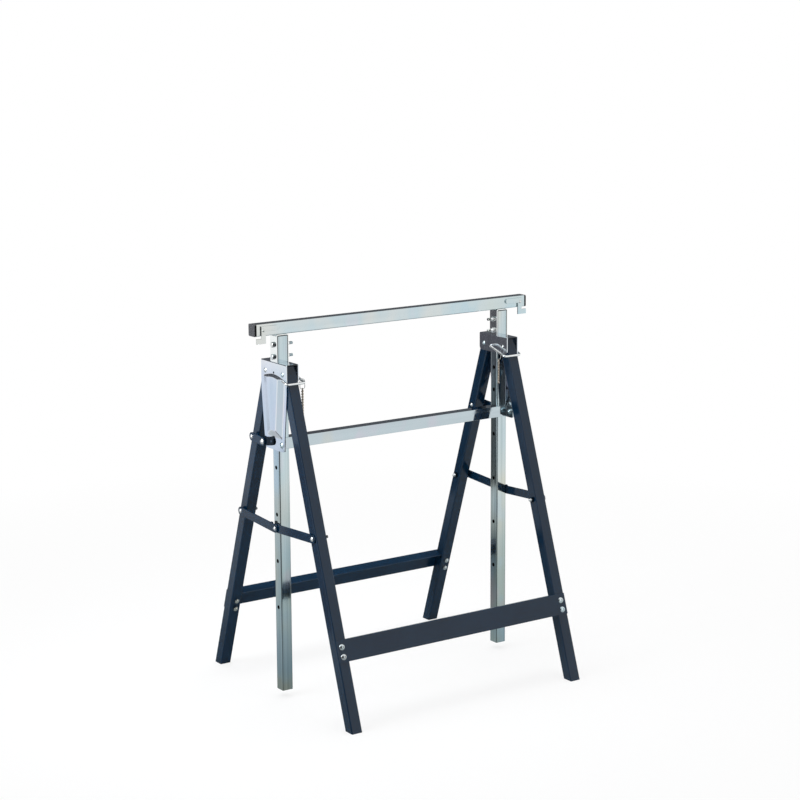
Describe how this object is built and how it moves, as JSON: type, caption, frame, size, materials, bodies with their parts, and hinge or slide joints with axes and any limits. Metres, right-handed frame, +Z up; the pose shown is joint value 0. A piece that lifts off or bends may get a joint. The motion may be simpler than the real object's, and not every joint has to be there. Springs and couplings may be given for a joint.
{
  "type": "builders trestle",
  "caption": "Folding steel work trestle: bar on telescopic posts, bent-wire lock pins on chains, hinged splayed legs, folding braces and flip-up end stops.",
  "frame": {"origin": "on the floor, under the middle of the bar", "axes": "+X along the bar, +Y from the front legs to the rear legs, +Z up"},
  "size_m": [0.69, 0.5604, 0.8],
  "materials": {
    "zinc": "bright zinc plate",
    "navy_paint": "satin powder coat",
    "black_plastic": "moulded"
  },
  "bodies": {
    "head_frame": {"left_head_bracket": "zinc", "right_head_bracket": "zinc", "leg_pivot_rivets": "zinc", "crossbar": "zinc", "crossbar_bolts": "zinc", "crossbar_nuts": "zinc", "stay_head_rivets": "navy_paint"},
    "mast": {"top_bar": "zinc", "left_end_cap": "black_plastic", "right_end_cap": "black_plastic", "stop_rivets": "zinc", "left_post_strap": "zinc", "right_post_strap": "zinc", "left_post": "zinc", "right_post": "zinc", "strap_bolts": "zinc", "strap_nuts": "zinc"},
    "front_frame": {"left_front_leg": "navy_paint", "right_front_leg": "navy_paint", "front_stretcher": "navy_paint", "front_stretcher_bolts": "zinc", "front_stretcher_nuts": "zinc", "front_brace_rivets": "zinc"},
    "rear_frame": {"left_rear_leg": "navy_paint", "right_rear_leg": "navy_paint", "rear_stretcher": "navy_paint", "rear_stretcher_bolts": "zinc", "rear_stretcher_nuts": "zinc", "rear_brace_rivets": "zinc", "stay_leg_rivets": "zinc"},
    "left_stop": {"left_end_stop": "zinc"},
    "left_pin": {"left_lock_pin": "zinc"},
    "left_chain": {"left_pin_ring": "zinc", "left_pin_chain": "zinc"},
    "left_front_link": {"left_front_brace": "navy_paint", "left_brace_rivet_tail": "zinc"},
    "left_rear_link": {"left_rear_brace": "navy_paint", "left_brace_rivet_head": "zinc"},
    "left_stay_leg": {"left_stay_leg_link": "navy_paint", "left_stay_bolt": "zinc"},
    "left_stay_head": {"left_stay_head_link": "navy_paint", "left_stay_bolt_tail": "zinc"},
    "right_stop": {"right_end_stop": "zinc"},
    "right_pin": {"right_lock_pin": "zinc"},
    "right_chain": {"right_pin_ring": "zinc", "right_pin_chain": "zinc"},
    "right_front_link": {"right_front_brace": "navy_paint", "right_brace_rivet_tail": "zinc"},
    "right_rear_link": {"right_rear_brace": "navy_paint", "right_brace_rivet_head": "zinc"},
    "right_stay_leg": {"right_stay_leg_link": "navy_paint", "right_stay_bolt": "zinc"},
    "right_stay_head": {"right_stay_head_link": "navy_paint", "right_stay_bolt_tail": "zinc"}
  },
  "joints": [
    {"name": "lift", "type": "slide", "parent": "head_frame", "child": "mast", "axis": [0, 0, 1], "range_m": [0, 0.5]},
    {"name": "front_fold", "type": "hinge", "parent": "head_frame", "child": "front_frame", "pos_m": [0, -0.034, 0.695], "axis": [1, 0, 0], "range_deg": [0, 11]},
    {"name": "rear_fold", "type": "hinge", "parent": "head_frame", "child": "rear_frame", "pos_m": [0, 0.034, 0.695], "axis": [1, 0, 0], "range_deg": [-14.2, 0]},
    {"name": "left_front_brace_fold", "type": "hinge", "parent": "front_frame", "child": "left_front_link", "pos_m": [-0.28, -0.14162, 0.374], "axis": [1, 0, 0], "range_deg": [0, 52.29]},
    {"name": "left_rear_brace_fold", "type": "hinge", "parent": "rear_frame", "child": "left_rear_link", "pos_m": [-0.28, 0.14162, 0.374], "axis": [1, 0, 0], "range_deg": [-50.82, 0]},
    {"name": "left_stay_leg_fold", "type": "hinge", "parent": "rear_frame", "child": "left_stay_leg", "pos_m": [-0.28, 0.08362, 0.547], "axis": [1, 0, 0], "range_deg": [0, 41.08]},
    {"name": "left_stay_head_fold", "type": "hinge", "parent": "head_frame", "child": "left_stay_head", "pos_m": [-0.28, 0.009, 0.55], "axis": [1, 0, 0], "range_deg": [-78.38, 0]},
    {"name": "left_stop_flip", "type": "hinge", "parent": "mast", "child": "left_stop", "pos_m": [-0.326, -0.0125, 0.7875], "axis": [0, -1, 0], "range_deg": [0, 90]},
    {"name": "left_pin_swing", "type": "hinge", "parent": "head_frame", "child": "left_pin", "pos_m": [-0.28, 0, 0.695], "axis": [-1, 0, 0], "range_deg": [0, 55]},
    {"name": "left_chain_hang", "type": "hinge", "parent": "left_pin", "child": "left_chain", "pos_m": [-0.255, -0.04686, 0.68067], "axis": [-1, 0, 0], "range_deg": [-55.2, 0]},
    {"name": "right_front_brace_fold", "type": "hinge", "parent": "front_frame", "child": "right_front_link", "pos_m": [0.28, -0.14162, 0.374], "axis": [1, 0, 0], "range_deg": [0, 52.29]},
    {"name": "right_rear_brace_fold", "type": "hinge", "parent": "rear_frame", "child": "right_rear_link", "pos_m": [0.28, 0.14162, 0.374], "axis": [1, 0, 0], "range_deg": [-50.82, 0]},
    {"name": "right_stay_leg_fold", "type": "hinge", "parent": "rear_frame", "child": "right_stay_leg", "pos_m": [0.28, 0.08362, 0.547], "axis": [1, 0, 0], "range_deg": [0, 41.08]},
    {"name": "right_stay_head_fold", "type": "hinge", "parent": "head_frame", "child": "right_stay_head", "pos_m": [0.28, 0.009, 0.55], "axis": [1, 0, 0], "range_deg": [-78.38, 0]},
    {"name": "right_stop_flip", "type": "hinge", "parent": "mast", "child": "right_stop", "pos_m": [0.326, -0.0125, 0.7875], "axis": [0, 1, 0], "range_deg": [0, 90]},
    {"name": "right_pin_swing", "type": "hinge", "parent": "head_frame", "child": "right_pin", "pos_m": [0.28, 0, 0.695], "axis": [-1, 0, 0], "range_deg": [0, 55]},
    {"name": "right_chain_hang", "type": "hinge", "parent": "right_pin", "child": "right_chain", "pos_m": [0.255, -0.03347, 0.68477], "axis": [-1, 0, 0], "range_deg": [-55.2, 0]}
  ],
  "couplings": [
    {"joint": "rear_fold", "follows": "front_fold", "ratio": -1.2727},
    {"joint": "left_front_brace_fold", "follows": "front_fold", "ratio": 4.7353},
    {"joint": "left_rear_brace_fold", "follows": "front_fold", "ratio": -4.6021},
    {"joint": "left_stay_leg_fold", "follows": "front_fold", "ratio": 3.7162},
    {"joint": "left_stay_head_fold", "follows": "front_fold", "ratio": -7.1073},
    {"joint": "left_chain_hang", "follows": "left_pin_swing", "ratio": -1},
    {"joint": "right_front_brace_fold", "follows": "front_fold", "ratio": 4.7353},
    {"joint": "right_rear_brace_fold", "follows": "front_fold", "ratio": -4.6021},
    {"joint": "right_stay_leg_fold", "follows": "front_fold", "ratio": 3.7162},
    {"joint": "right_stay_head_fold", "follows": "front_fold", "ratio": -7.1073},
    {"joint": "right_chain_hang", "follows": "right_pin_swing", "ratio": -1}
  ]
}
